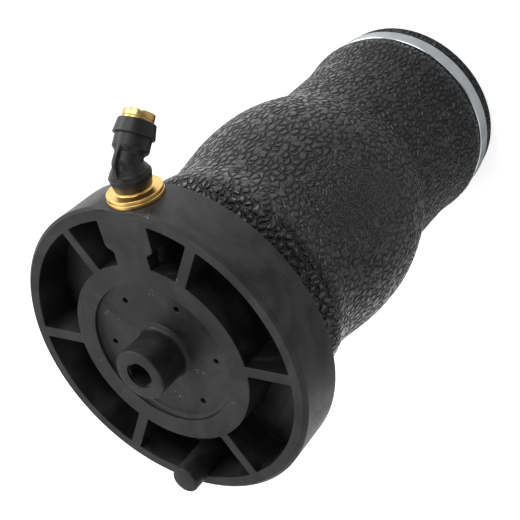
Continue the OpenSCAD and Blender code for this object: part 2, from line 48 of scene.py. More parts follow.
# places that several pieces share, in mm and degrees
place = {"faceZ": 183.0, "portZ": 172.5, "portFlatX": 55.7, "bendX": 67.4, "bendAngle": 45.0}
turn = math.radians(place["bendAngle"])
axes = {  # where a round piece's own axis starts, its direction, and a direction square to it
    "spring": (Vector((0, 0, 0)), Vector((0, 0, 1)), Vector((1, 0, 0))),
    "port": (Vector((0, 0, place["portZ"])) * mm, Vector((1, 0, 0)), Vector((0, 0, 1))),
    "outlet": (Vector((place["bendX"], 0, place["portZ"])) * mm,
               Vector((math.cos(turn), 0, -math.sin(turn))),
               Vector((math.sin(turn), 0, math.cos(turn)))),
}
# points merge within so many mm, and the angles between faces are in degrees
meshing = {"merge": 0.002, "mergeTurned": 0.001, "smooth": 30, "sharp": 32, "flat": 0.6}


def newMesh(name, bm, smoothAngle=meshing["smooth"]):
    mesh = bpy.data.meshes.new(name)
    bm.to_mesh(mesh)
    bm.free()
    for extra in ("custom_normal", "sharp_face", "sharp_edge"):
        if extra in mesh.attributes:
            mesh.attributes.remove(mesh.attributes[extra])
    mesh.materials.clear()
    mesh.shade_smooth()
    mesh.set_sharp_from_angle(angle=math.radians(smoothAngle))
    piece = bpy.data.objects.new(name, mesh)
    bpy.context.scene.collection.objects.link(piece)
    return piece


def addBevel(piece, width, segments, angle=meshing["sharp"], limit="ANGLE"):
    bevel = piece.modifiers.new("edges", "BEVEL")
    bevel.width = width * mm
    bevel.use_clamp_overlap = limit == "ANGLE"  # the clamp would leave next to no width on the plate
    bevel.segments = segments
    bevel.limit_method = limit
    bevel.angle_limit = math.radians(angle)
    bevel.harden_normals = True
    bevel.miter_outer = "MITER_ARC"
    split = piece.modifiers.new("triangles", "TRIANGULATE")
    split.min_vertices = 5  # quads stay whole
    split.keep_custom_normals = True


def applyModifiers(piece):
    graph = bpy.context.evaluated_depsgraph_get()
    evaluated = piece.evaluated_get(graph)
    baked = bpy.data.meshes.new_from_object(evaluated, preserve_all_data_layers=True, depsgraph=graph)
    piece.modifiers.clear()
    piece.data = baked


def cadCopy(node):
    # a CAD node's loose triangles, merged
    bm = bmesh.new()
    bm.from_mesh(nodes[node].data)
    bmesh.ops.remove_doubles(bm, verts=bm.verts, dist=meshing["merge"] * mm)
    return bm


def roundedCopy(node, name, e):
    # a CAD node's solid with its sharp edges broken, apart from those within crispR of the spring's axis
    bm = cadCopy(node)
    bmesh.ops.dissolve_limit(bm, angle_limit=math.radians(meshing["flat"]), verts=bm.verts, edges=bm.edges,
                             use_dissolve_boundaries=False)
    weight = bm.edges.layers.float.new("bevel_weight_edge")
    for edge in bm.edges:
        middle = (edge.verts[0].co + edge.verts[1].co) / (2 * mm)
        sharp = edge.calc_face_angle(0) > math.radians(meshing["sharp"])
        edge[weight] = float(sharp and math.hypot(middle.x, middle.y) > e["crispR"])
    piece = newMesh(name, bm)
    addBevel(piece, e["edge"], e["segments"], limit="WEIGHT" if e["crispR"] else "ANGLE")
    return piece


def turned(name, profile, axis, steps, smoothAngle=meshing["smooth"]):
    # a round piece: the closed profile is (distance along the axis, radius), spun once round its axis
    origin, along, out = axes[axis]
    bm = bmesh.new()
    ring = [bm.verts.new(origin + (along * s + out * r) * mm) for s, r in profile]
    edges = [bm.edges.new(pair) for pair in zip(ring, ring[1:] + ring[:1])]
    bmesh.ops.spin(bm, geom=ring + edges, cent=origin, axis=along, angle=math.radians(360), steps=steps,
                   use_merge=True, use_duplicate=False)
    bmesh.ops.remove_doubles(bm, verts=bm.verts, dist=meshing["mergeTurned"] * mm)
    bmesh.ops.recalc_face_normals(bm, faces=bm.faces)
    return newMesh(name, bm, smoothAngle)


def stretch(points, s, r):
    # a stretch of a profile, given as steps from one of its corners
    return [(s + ds, r + dr) for ds, dr in points]


def triangles(piece):
    return sum(len(p.vertices) - 2 for p in piece.data.polygons)


def dress(piece, material):
    piece.data.materials.clear()
    piece.data.materials.append(material)


def finish(piece, body, material, node):
    dress(piece, material)
    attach(piece, body)
    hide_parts(node)


def rgba(value):
    return (*value[:3], 1.0) if isinstance(value, (tuple, list)) else value


class Tree:  # the nodes of one material, of the world or of one geometry group
    def __init__(self, tree):
        self.tree = tree

    def add(self, kind, **settings):
        node = self.tree.nodes.new(kind)
        for key, value in settings.items():
            setattr(node, key, value)
        return node

    def link(self, a, b):
        self.tree.links.new(a, b)

    def fill(self, socket, value):
        if isinstance(value, (int, float, tuple, list)):
            socket.default_value = value
        elif value is not None:
            self.link(value, socket)

    def noise(self, scale, detail, roughness, distortion=0.0, vector=None, color=False):
        node = self.add("ShaderNodeTexNoise")
        node.inputs["Scale"].default_value = scale
        node.inputs["Detail"].default_value = detail
        node.inputs["Roughness"].default_value = roughness
        node.inputs["Distortion"].default_value = distortion
        self.link(vector or self.coords, node.inputs["Vector"])
        return node.outputs["Color" if color else "Fac"]

    def edgeDistance(self, scale, vector, randomness):
        node = self.add("ShaderNodeTexVoronoi", feature="DISTANCE_TO_EDGE", voronoi_dimensions="2D")
        node.inputs["Scale"].default_value = scale
        node.inputs["Randomness"].default_value = randomness
        self.link(vector, node.inputs["Vector"])
        return node.outputs["Distance"]

    def ramp(self, factor, low, high, lowValue=0.0, highValue=1.0):
        node = self.add("ShaderNodeMapRange", interpolation_type="SMOOTHSTEP")
        names = ("Value", "From Min", "From Max", "To Min", "To Max")
        for key, value in zip(names, (factor, low, high, lowValue, highValue)):
            self.fill(node.inputs[key], value)
        return node.outputs["Result"]

    def fade(self, factor, full, none):
        return self.ramp(factor, full, none, 1.0, 0.0)

    def maths(self, operation, a, b):
        node = self.add("ShaderNodeMath", operation=operation)
        self.fill(node.inputs[0], a)
        self.fill(node.inputs[1], b)
        return node.outputs[0]

    def blend(self, a, b, share):
        # all a where share is 0, all b where it is 1
        rest = 1 - share if isinstance(share, float) else self.maths("SUBTRACT", 1.0, share)
        return self.maths("ADD", self.maths("MULTIPLY", a, rest), self.maths("MULTIPLY", b, share))

    def vector(self, operation, a, b=None, c=None):
        node = self.add("ShaderNodeVectorMath", operation=operation)
        for socket, value in zip(node.inputs, (a, b, c)):
            self.fill(socket, value)
        return node.outputs["Value" if operation in ("DISTANCE", "DOT_PRODUCT", "LENGTH") else "Vector"]

    def mix(self, factor, a, b):
        node = self.add("ShaderNodeMix", data_type="RGBA")
        for socket, value in ((node.inputs[0], factor), (node.inputs[6], a), (node.inputs[7], b)):
            self.fill(socket, rgba(value))
        return node.outputs[2]

    def bump(self, height, depth, strength, under=None):
        # the depth is in mm
        node = self.add("ShaderNodeBump")
        node.inputs["Distance"].default_value = depth * mm
        node.inputs["Strength"].default_value = strength
        self.link(height, node.inputs["Height"])
        if under is not None:
            self.link(under, node.inputs["Normal"])
        return node.outputs["Normal"]

    def set(self, **values):
        names = {"color": "Base Color", "metallic": "Metallic", "roughness": "Roughness", "normal": "Normal",
                 "specular": "Specular IOR Level"}
        for key, value in values.items():
            self.fill(self.shader.inputs[names[key]], rgba(value))


def newMaterial(name):
    material = bpy.data.materials.new(name)
    material.use_nodes = True
    t = Tree(material.node_tree)
    t.material = material
    t.shader = t.tree.nodes["Principled BSDF"]
    t.coords = t.add("ShaderNodeTexCoord").outputs["Object"]
    return t


# in all finishes a noise is scale, detail, roughness and distortion, a span is from and to, a depth is in mm
marks = {
    "color": (0.28, 0.285, 0.29), "amount": 0.65, "faceSpan": (-2.6, -2.3),  # heights from the plate's face
    "speck": (1300, 2, 0.5), "speckSpan": (0.70, 0.75), "area": (60, 2, 0.5), "areaSpan": (0.52, 0.68),
    "rub": (850, 3, 0.65, 0.6), "rubSpan": (0.56, 0.66), "scuffCore": 0.3,
    "scuffs": [  # rubbed places on the plate's face: x, y and radius in mm
        (11.5, 21.2, 2.4), (10.9, 16.8, 1.8), (-6.2, -13.4, 3.4), (-17.9, 0.6, 3.6), (23.8, -2.2, 2.4),
        (55.0, -4.5, 2.2), (55.2, -7.5, 1.6), (54.6, -12.0, 2.4), (50.5, -17.5, 1.8), (34.0, -13.0, 1.8),
        (33.0, -16.5, 1.4), (-8.8, 28.9, 2.0), (-14.0, -26.0, 1.8)],
    "partingSpan": (0.08, 0.2), "partingR": (54.5, 55.0), "ejectorAt": (26.4, -1.6), "ejectorR": (1.15, 1.35),
    "depth": 0.1, "strength": 0.8,
}
moulded = {"cloud": (38, 4, 0.6, 1.2), "swirl": (14, 5, 0.65, 2.6), "fine": (900, 3, 0.6), "swirlShare": 0.4,
           "toneSpan": (0.42, 0.60), "cloudDepth": 0.5, "cloudStrength": 0.5, "fineDepth": 0.02,
           "fineStrength": 0.6, "fineShare": 0.3, "roughSpan": (0.3, 0.7)}
nylonLooks = {
    "glassFilledNylon": {"dark": (0.007, 0.0072, 0.0076), "light": (0.029, 0.0297, 0.0311),
                         "rough": (0.33, 0.62), "specular": 0.31},
    "fittingNylon": {"dark": (0.009, 0.0092, 0.0097), "light": (0.015, 0.0154, 0.0163),
                     "rough": (0.32, 0.44), "specular": 0.32},
}


def addMarks(t, base, normal, m):
    # specks and scuffs pale the plate's face
    flat = t.vector("MULTIPLY", t.coords, (1, 1, 0))
    specks = t.maths("MULTIPLY", t.ramp(t.noise(*m["speck"]), *m["speckSpan"]),
                     t.ramp(t.noise(*m["area"]), *m["areaSpan"]))
    near = None
    for x, y, r in m["scuffs"]:
        spot = t.fade(t.vector("DISTANCE", flat, (x * mm, y * mm, 0)), r * m["scuffCore"] * mm, r * mm)
        near = spot if near is None else t.maths("MAXIMUM", near, spot)
    rubbed = t.maths("MULTIPLY", t.ramp(t.noise(*m["rub"]), *m["rubSpan"]), near)
    split = t.add("ShaderNodeSeparateXYZ")
    t.link(t.coords, split.inputs[0])
    face = t.ramp(split.outputs["Z"], *[(place["faceZ"] + z) * mm for z in m["faceSpan"]])
    mark = t.maths("MULTIPLY", t.maths("MAXIMUM", specks, rubbed), m["amount"])
    base = t.mix(t.maths("MULTIPLY", mark, face), base, m["color"])
    # the mould's parting line runs down the rim where x is 0, and an ejector left a mark on the hub ring
    across = t.vector("LENGTH", t.vector("MULTIPLY", t.coords, (1, 0, 0)))
    parting = t.maths("MULTIPLY", t.fade(across, *[x * mm for x in m["partingSpan"]]),
                      t.ramp(t.vector("LENGTH", flat), *[r * mm for r in m["partingR"]]))
    x, y = m["ejectorAt"]
    ejector = t.fade(t.vector("DISTANCE", flat, (x * mm, y * mm, 0)), *[r * mm for r in m["ejectorR"]])
    return base, t.bump(t.maths("SUBTRACT", parting, ejector), m["depth"], m["strength"], normal)


def mouldedNylon(name, m, plateMarks=None):
    t = newMaterial(name)
    look = nylonLooks[name]
    cloud = t.noise(*m["cloud"])
    fine = t.noise(*m["fine"])
    swirl = t.noise(*m["swirl"])
    tone = t.blend(cloud, swirl, m["swirlShare"])
    base = t.mix(t.ramp(tone, *m["toneSpan"]), look["dark"], look["light"])
    normal = t.bump(cloud, m["cloudDepth"], m["cloudStrength"])
    if plateMarks:
        base, normal = addMarks(t, base, normal, plateMarks)
    gloss = t.blend(swirl, fine, m["fineShare"])
    t.set(color=base, roughness=t.ramp(gloss, *m["roughSpan"], *look["rough"]), specular=look["specular"])
    t.set(normal=t.bump(fine, m["fineDepth"], m["fineStrength"], normal))
    return t.material


plain = {"toneSpan": (0.35, 0.65), "roughSpan": (0.3, 0.7)}
plainLooks = {  # cloud varies colour and gloss, and lines, drawn out by so much, are tool marks or pores
    "turnedBrass": {
        "metallic": 1.0, "dark": (0.72, 0.45, 0.14), "light": (0.80, 0.53, 0.19), "rough": (0.30, 0.38),
        "cloud": (160, 3, 0.5), "lines": (260, 3, 0.6), "drawn": (18, 1, 1), "depth": 0.008, "strength": 0.3},
    "brightBrass": {
        "metallic": 1.0, "dark": (0.54, 0.35, 0.12), "light": (0.62, 0.43, 0.17), "rough": (0.24, 0.30),
        "cloud": (160, 3, 0.5), "lines": (260, 3, 0.6), "drawn": (18, 1, 1), "depth": 0.008, "strength": 0.3},
    "zincPlate": {
        "metallic": 1.0, "dark": (0.55, 0.59, 0.62), "light": (0.74, 0.77, 0.79), "rough": (0.12, 0.2),
        "cloud": (70, 4, 0.6), "lines": (120, 4, 0.7), "drawn": (1, 1, 26), "depth": 0.03, "strength": 0.35},
    "insertSteel": {
        "metallic": 1.0, "dark": (0.448, 0.456, 0.464), "light": (0.56, 0.57, 0.58), "rough": (0.3, 0.45),
        "cloud": (240, 4, 0.6), "lines": (900, 2, 0.5), "drawn": (1, 1, 7), "depth": 0.02, "strength": 0.4},
    "springSteel": {
        "metallic": 1.0, "dark": (0.496, 0.496, 0.504), "light": (0.62, 0.62, 0.63), "rough": (0.22, 0.37),
        "cloud": (240, 4, 0.6), "lines": (900, 2, 0.5), "drawn": (1, 1, 7), "depth": 0.02, "strength": 0.4},
    "urethaneFoam": {
        "metallic": 0.0, "dark": (0.55, 0.48, 0.27), "light": (0.68, 0.62, 0.40), "rough": (0.6, 0.75),
        "cloud": (300, 4, 0.6), "lines": (1500, 3, 0.6), "drawn": (1, 1, 1), "depth": 0.08, "strength": 0.5},
    "sealRubber": {
        "metallic": 0.0, "dark": (0.014, 0.014, 0.015), "light": (0.028, 0.028, 0.03), "rough": (0.4, 0.55),
        "cloud": (500, 4, 0.6), "lines": (2500, 3, 0.6), "drawn": (1, 1, 1), "depth": 0.08, "strength": 0.5},
}


def plainFinish(name, p):
    t = newMaterial(name)
    look = plainLooks[name]
    cloud = t.noise(*look["cloud"])
    lines = t.noise(*look["lines"], vector=t.vector("MULTIPLY", t.coords, look["drawn"]))
    t.set(color=t.mix(t.ramp(cloud, *p["toneSpan"]), look["dark"], look["light"]), metallic=look["metallic"])
    t.set(roughness=t.ramp(cloud, *p["roughSpan"], *look["rough"]))
    t.set(normal=t.bump(lines, look["depth"], look["strength"]))
    return t.material


# the sleeve's grain: sizes and depths in mm, the rest as shares of a cell or of the full height
grain = {
    "cell": 2.85, "randomness": 0.95, "warp": 0.8, "warpScale": 280.0, "ridge": 0.065, "wall": 0.17,
    "island": 0.85, "islandFrom": 0.20, "islandTo": 0.31, "depth": 0.75, "relief": 0.25,
    "pebbleAcross": 2.3, "pebbleAlong": 3.4, "pebbleFrom": 0.04, "pebbleTo": 0.26,
    "bridge": 0.5, "bridgeNoise": (0.7, 0.0, 0.5), "bridgeSpan": (0.5, 0.7),
    "netAt": (21.1, -39.2, 108.0), "netFrom": 17.0, "netTo": 38.0, "netUneven": 22.0,
    "netNoise": (75.0, 2.0, 0.5), "netRise": 1.5,
}
# groove is a painted shade colour, much darker than the rubber, that the grain's low parts take for the shade
# in its grooves and pits
rubber = {"specular": 0.5, "dark": (0.011, 0.0113, 0.0119), "light": (0.018, 0.0185, 0.0195),
          "cloud": (45, 4, 0.6, 0.5), "cloudSpan": (0.35, 0.65), "groove": (0.002, 0.002, 0.0022),
          "grooveShadeSpan": (0.1, 0.8), "roughSpan": (0.0, 0.6), "rough": (0.6, 0.24),
          "fine": (2200, 3, 0.6), "fineDepth": 0.02, "fineStrength": 0.3}


def bentSpot(t, spot, g):
    # a place on the rolled-out rubber, shifted a little so that the cells aren't straight-edged
    colors = t.noise(g["warpScale"], 1.0, 0.5, vector=spot, color=True)
    wobble = t.vector("SUBTRACT", colors, (0.5, 0.5, 0.5))
    size = 2 * g["warp"] * mm
    return t.vector("MULTIPLY_ADD", wobble, (size, size, 0), spot)


def netZone(t, position, g):
    # on one side of the belly the pebbles give way to a net of ridges with small islands
    away = t.vector("DISTANCE", position, [c * mm for c in g["netAt"]])
    uneven = t.maths("MULTIPLY", t.noise(*g["netNoise"], vector=position), g["netUneven"] * mm)
    return t.fade(t.maths("ADD", away, uneven), g["netFrom"] * mm, g["netTo"] * mm)


def grainPebbles(t, bent, g):
    # round pebbles, longer along the spring than across it, some grown together over the grooves between them
    drawn = t.vector("MULTIPLY", bent, (1 / (g["pebbleAcross"] * mm), 1 / (g["pebbleAlong"] * mm), 0))
    pebble = t.ramp(t.edgeDistance(1.0, drawn, g["randomness"]), g["pebbleFrom"], g["pebbleTo"])
    bridge = t.ramp(t.noise(*g["bridgeNoise"], vector=drawn), *g["bridgeSpan"], 0.0, g["bridge"])
    return t.maths("MAXIMUM", pebble, bridge)


def grainNet(t, bent, g):
    edge = t.edgeDistance(1 / (g["cell"] * mm), bent, g["randomness"])
    islands = t.ramp(edge, g["islandFrom"], g["islandTo"], 0.0, g["island"])
    return t.maths("MAXIMUM", t.fade(edge, g["ridge"], g["wall"]), islands)


def pebbledRubber(name, r, g):
    t = newMaterial(name)
    net = netZone(t, t.coords, g)
    heights = []
    for side in ("grainFront", "grainBack"):
        bent = bentSpot(t, t.add("ShaderNodeAttribute", attribute_name=side).outputs["Vector"], g)
        pebbles = t.maths("MULTIPLY", grainPebbles(t, bent, g), t.maths("SUBTRACT", 1.0, net))
        ridges = t.maths("MULTIPLY", grainNet(t, bent, g), t.maths("MULTIPLY", net, g["netRise"]))
        heights.append(t.maths("ADD", pebbles, ridges))
    behind = t.add("ShaderNodeAttribute", attribute_name="behind").outputs["Fac"]
    height = t.blend(heights[0], heights[1], behind)
    worn = t.mix(t.ramp(t.noise(*r["cloud"]), *r["cloudSpan"]), r["dark"], r["light"])
    # painted shade: the lower the grain, the nearer its colour comes to the dark groove colour
    base = t.mix(t.ramp(height, *r["grooveShadeSpan"]), r["groove"], worn)
    t.set(color=base, roughness=t.ramp(height, *r["roughSpan"], *r["rough"]), specular=r["specular"])
    normal = t.bump(height, g["depth"], 1.0)
    t.set(normal=t.bump(t.noise(*r["fine"]), r["fineDepth"], r["fineStrength"], normal))
    return t.material


nylonMaterial = mouldedNylon("glassFilledNylon", moulded, marks)
fittingMaterial = mouldedNylon("fittingNylon", moulded)
brassMaterial = plainFinish("turnedBrass", plain)
colletMaterial = plainFinish("brightBrass", plain)
zincMaterial = plainFinish("zincPlate", plain)
insertMaterial = plainFinish("insertSteel", plain)
springSteelMaterial = plainFinish("springSteel", plain)
urethaneMaterial = plainFinish("urethaneFoam", plain)
sealMaterial = plainFinish("sealRubber", plain)
rubberMaterial = pebbledRubber("pebbledRubber", rubber, grain)
print("materials made")

# heights and radii from the lower edge to the upper one, in mm, and how finely the sleeve is cut
sleeve = {
    "edgeZ": 2.4, "crimpR": 37.65, "ringTop": 14.5, "ringLip": 38.6, "lipFrom": 0.2, "lipTo": 0.8,
    "humpZ": 19.0, "humpR": 39.8, "waistR": 38.2, "waistLow": 35.0, "crease": 62.0,
    "bellyR": 45.6, "bellyLow": 93.0, "bellyHigh": 97.0, "neckZ": 126.5, "neckR": 42.6,
    "shoulderZ": 140.0, "shoulderR": 44.5, "upRingLow": 150.35, "upBeadR": 37.35, "upEdge": 162.45,
    "wall": 3.0, "beadWall": 2.4, "seatLow": 147.35, "seatRun": 1.5, "gap": 0.3,
    "step": 0.66, "hiddenStep": 3.0, "round": 384, "innerEvery": 14, "smoothAngle": 60,
    # the grain: how it is stretched along the waist and the belly, the radius that it is rolled out at,
    # where the pattern changes over at the back, in degrees, and the strips without relief by the rings
    "flatWaist": 1.05, "flatBelly": 1.0, "grainR": 42.0, "backShift": 500,
    "changeFrom": 128, "changeWidth": 14,
    "bareEdge": 0.3, "bareRing": 7.2, "bareAbove": 1.2, "bareBelow": 1.5, "skin": 0.5,
}


def sleeveOutline(s):
    corners = [(s["edgeZ"], s["crimpR"]), (s["ringTop"] + s["lipFrom"], s["crimpR"]),
               (s["ringTop"] + s["lipTo"], s["ringLip"]), (s["humpZ"], s["humpR"]),
               (s["waistLow"], s["waistR"]), (s["crease"], s["waistR"]),
               (s["bellyLow"], s["bellyR"]), (s["bellyHigh"], s["bellyR"]),
               (s["neckZ"], s["neckR"]), (s["shoulderZ"], s["shoulderR"]),
               (s["upRingLow"] - s["lipFrom"], s["upBeadR"]), (s["upEdge"], s["upBeadR"])]
    points = []
    for (z0, r0), (z1, r1) in zip(corners, corners[1:]):
        step = s["hiddenStep"] if z0 > s["shoulderZ"] else s["step"]
        n = max(1, round(math.hypot(z1 - z0, r1 - r0) / step))
        for k in range(n):
            t = k / n
            rise = (1 - math.cos(math.pi * t)) / 2
            if z0 == s["crease"]:  # the belly leaves the waist in a crease
                rise = math.sin(math.pi / 2 * t)
            points.append((z0 + (z1 - z0) * t, r0 + (r1 - r0) * rise))
    points.append(corners[-1])
    return points


def clamped(value):
    return min(1.0, max(0.0, value))


def storeGrain(piece, outer, s):
    # each point's place on the rubber, rolled out along its slopes from the front and from the back
    run, total = [0.0], 0.0
    for (z0, r0), (z1, r1) in zip(outer, outer[1:]):
        share = clamped((z1 - s["crease"]) / (s["bellyLow"] - s["crease"]))
        total += math.hypot(z1 - z0, r1 - r0) * (s["flatWaist"] + (s["flatBelly"] - s["flatWaist"]) * share)
        run.append(total)
    heights = [p[0] for p in outer]
    front, rear, behind, raised = [], [], [], []
    for v in piece.data.vertices:
        z, r = v.co.z / mm, math.hypot(v.co.x, v.co.y) / mm
        low, high = 0, len(heights) - 1
        while high - low > 1:
            k = (low + high) // 2
            low, high = (k, high) if heights[k] <= z else (low, k)
        part = (z - heights[low]) / max(1e-6, heights[high] - heights[low])
        along = run[low] + (run[high] - run[low]) * clamped(part)
        surface = outer[low][1] + (outer[high][1] - outer[low][1]) * part
        angle, opposite = math.atan2(v.co.y, v.co.x), math.atan2(-v.co.y, -v.co.x)
        front += [angle * s["grainR"] * mm, along * mm, 0]
        # the back is shifted, so that it doesn't repeat the front
        rear += [opposite * s["grainR"] * mm, along * mm + s["backShift"] * mm, 0]
        behind.append(clamped((abs(math.degrees(angle)) - s["changeFrom"]) / s["changeWidth"]))
        below = s["edgeZ"] + s["bareEdge"] < z < s["ringTop"] - s["bareRing"]
        above = s["ringTop"] + s["bareAbove"] < z < s["upRingLow"] - s["bareBelow"]
        raised.append(1.0 if (below or above) and abs(surface - r) < s["skin"] else 0.0)
    for name, values in (("grainFront", front), ("grainBack", rear)):
        piece.data.attributes.new(name, "FLOAT_VECTOR", "POINT").data.foreach_set("vector", values)
    for name, values in (("behind", behind), ("raised", raised)):
        piece.data.attributes.new(name, "FLOAT", "POINT").data.foreach_set("value", values)


def addRelief(piece, g):
    # the grooves between the pebbles also sink the mesh a little, which the outline shows, but not in the net
    group = bpy.data.node_groups.new("grainRelief", "GeometryNodeTree")
    for direction in ("INPUT", "OUTPUT"):
        group.interface.new_socket("Geometry", in_out=direction, socket_type="NodeSocketGeometry")
    t = Tree(group)
    start, end = t.add("NodeGroupInput"), t.add("NodeGroupOutput")

    def named(name, kind):
        node = t.add("GeometryNodeInputNamedAttribute", data_type=kind)
        node.inputs["Name"].default_value = name
        return node.outputs["Attribute"]

    pits = []
    for side in ("grainFront", "grainBack"):
        pebbles = grainPebbles(t, bentSpot(t, named(side, "FLOAT_VECTOR"), g), g)
        pits.append(t.maths("MULTIPLY", t.maths("SUBTRACT", pebbles, 1.0), g["relief"] * mm))
    pit = t.blend(pits[0], pits[1], named("behind", "FLOAT"))
    net = netZone(t, t.add("GeometryNodeInputPosition").outputs[0], g)
    raised = t.maths("MULTIPLY", named("raised", "FLOAT"), t.maths("SUBTRACT", 1.0, net))
    push = t.add("ShaderNodeVectorMath", operation="SCALE")
    t.link(t.add("GeometryNodeInputNormal").outputs[0], push.inputs[0])
    t.link(t.maths("MULTIPLY", pit, raised), push.inputs["Scale"])
    shift = t.add("GeometryNodeSetPosition")
    t.link(start.outputs[0], shift.inputs["Geometry"])
    t.link(push.outputs[0], shift.inputs["Offset"])
    t.link(shift.outputs[0], end.inputs[0])
    piece.modifiers.new("grain", "NODES").node_group = group
    applyModifiers(piece)


def makeSleeve(s):
    outer = sleeveOutline(s)
    bead = s["upBeadR"] - s["beadWall"]
    inner = [(s["upEdge"], bead), (s["seatLow"] - s["gap"], bead)]
    innerTop = s["seatLow"] - s["seatRun"]
    inner += [(z, r - s["wall"]) for z, r in reversed(outer[::s["innerEvery"]]) if z < innerTop]
    piece = turned("sleeve", outer + inner, "spring", s["round"], s["smoothAngle"])
    storeGrain(piece, outer, s)
    addRelief(piece, grain)
    dress(piece, rubberMaterial)
    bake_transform(piece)
    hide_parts("rubber_sleeve")
    print("sleeve triangles:", triangles(piece))


makeSleeve(sleeve)
print("sleeve made")

ring = {
    "inner": 37.65, "outer": 38.85, "lip": 39.0, "width": 6.65, "lowZ": 7.85, "upZ": 150.35,
    "round": 200, "smoothAngle": 50,
    # the band bulges a little, with a groove before its rolled lip: steps from its low end and its top
    "band": [(0.0, -0.42), (0.15, -0.25), (0.55, -0.12), (1.2, -0.03), (2.2, 0.0), (3.2, -0.03), (4.2, -0.12),
             (4.9, -0.24), (5.3, -0.36)],
    "roll": [(-0.9, -0.45), (-0.7, -0.06), (-0.45, 0.0), (-0.28, -0.06), (-0.08, -0.22), (0.0, -0.5)],
}


def makeRing(name, lowZ, node, body, r):
    top = lowZ + r["width"]
    profile = [(lowZ, r["inner"])] + stretch(r["band"], lowZ, r["outer"])
    profile += stretch(r["roll"], top, r["lip"]) + [(top, r["inner"])]
    piece = turned(name, profile, "spring", r["round"], r["smoothAngle"])
    finish(piece, body, zincMaterial, node)


makeRing("lowerRing", ring["lowZ"], "lower_crimp_ring", "lower_end", ring)
makeRing("upperRing", ring["upZ"], "upper_crimp_ring", "top_end", ring)
print("rings made")

plate = {"edge": 0.3, "segments": 2, "crispR": 5.0}  # the hexagonal socket keeps its crisp edges
closure = {"edge": 0.25, "segments": 2, "crispR": 0.0}
endPlate = roundedCopy("top_plate", "endPlate", plate)
finish(endPlate, "top_end", nylonMaterial, "top_plate")
lowerClosure = roundedCopy("lower_closure", "lowerClosure", closure)
finish(lowerClosure, "lower_end", nylonMaterial, "lower_closure")
print("plate and closure made")

fitting = {
    "bushFlangeR": 9.65, "bushFlangeT": 1.35, "bushR": 6.4, "bushLen": 13.0, "postThreadR": 4.4,
    "postFlangeR": 9.5, "postFlangeT": 1.35, "postInset": 2, "threadGap": 0.02, "neckR": 5.9, "neckLen": 0.8,
    "stemR": 3.5, "stemLen": 6.4, "airR": 1.8, "sealGroove": 1.0, "coveR": 0.55,
    "coveAngles": (0, 22.5, 45, 67.5, 90), "bevel": 0.28, "bevelSegments": 3, "postBevelAngle": 50,
    "round": 96,
}


def makeBush(f):
    flat = place["portFlatX"]
    low, face = flat - f["bushLen"], flat + f["bushFlangeT"]
    grooveR, grooveX = f["postThreadR"] + 2 * f["sealGroove"], face - f["sealGroove"]
    profile = [(low, f["postThreadR"]), (low, f["bushR"]), (flat, f["bushR"]), (flat, f["bushFlangeR"]),
               (face, f["bushFlangeR"]), (face, grooveR), (grooveX, grooveR), (grooveX, f["postThreadR"])]
    piece = turned("portBush", profile, "port", f["round"])
    addBevel(piece, f["bevel"], f["bevelSegments"])
    finish(piece, "top_end", brassMaterial, "port_bush")


def makePost(f):
    flat = place["portFlatX"]
    low, disc = flat - f["bushLen"] + f["postInset"], flat + f["bushFlangeT"]
    top = disc + f["postFlangeT"]
    neck = top + f["neckLen"]
    stem = neck + f["stemLen"]
    thread = f["postThreadR"] - f["threadGap"]
    cove = []
    for angle in f["coveAngles"]:
        a = math.radians(angle)
        cove.append((top + f["coveR"] * (1 - math.cos(a)), f["neckR"] + f["coveR"] * (1 - math.sin(a))))
    profile = [(low, f["airR"]), (low, thread), (disc, thread)]
    profile += [(disc, f["postFlangeR"]), (top, f["postFlangeR"])]
    profile += cove + [(neck, f["neckR"]), (neck, f["stemR"]), (stem, f["stemR"]), (stem, f["airR"])]
    piece = turned("swivelPost", profile, "port", f["round"])
    addBevel(piece, f["bevel"], f["bevelSegments"], f["postBevelAngle"])
    finish(piece, "top_end", brassMaterial, "swivel_post")


makeBush(fitting)
makePost(fitting)

elbow = {
    "voxel": 0.19, "smooth": 4, "factor": 0.5, "bandX": 63.95, "bandR": 7.2, "toeX": 59.26, "toeR": 6.3,
    "bead": 6.72, "round": 120, "smoothAngle": 38,
    # the base band in steps from its toe, from its edge and from the bead behind it
    "toe": [(0, -0.7), (0, -0.2), (0.2, 0)],
    "edge": [(-0.6, -0.02), (0, 0), (0.1, -0.2)],
    "behind": [(0.15, -0.08), (0.35, -0.1), (0.65, 0), (1.05, -0.1), (1.55, -0.42), (2.0, -1.1)],
}


def makeElbow(e):
    piece = newMesh("elbowBody", cadCopy("elbow_body"), 180)
    remesh = piece.modifiers.new("blend", "REMESH")
    remesh.mode = "VOXEL"
    remesh.voxel_size = e["voxel"] * mm
    remesh.use_smooth_shade = True
    smooth = piece.modifiers.new("soften", "SMOOTH")
    smooth.factor, smooth.iterations = e["factor"], e["smooth"]
    applyModifiers(piece)
    piece.data.shade_smooth()
    profile = stretch(e["toe"], e["toeX"], e["toeR"]) + stretch(e["edge"], e["bandX"], e["bandR"])
    profile += stretch(e["behind"], e["bandX"], e["bead"])
    band = turned("band", profile, "port", e["round"], e["smoothAngle"])
    bm = bmesh.new()  # the base's crisp edge joins the softened body
    bm.from_mesh(piece.data)
    bm.from_mesh(band.data)
    joined = newMesh("elbowWithBand", bm, e["smoothAngle"])
    piece.data = joined.data
    for spare in (joined, band):
        bpy.data.objects.remove(spare)
    finish(piece, "elbow", fittingMaterial, "elbow_body")
    print("elbow triangles:", triangles(piece))


makeElbow(elbow)

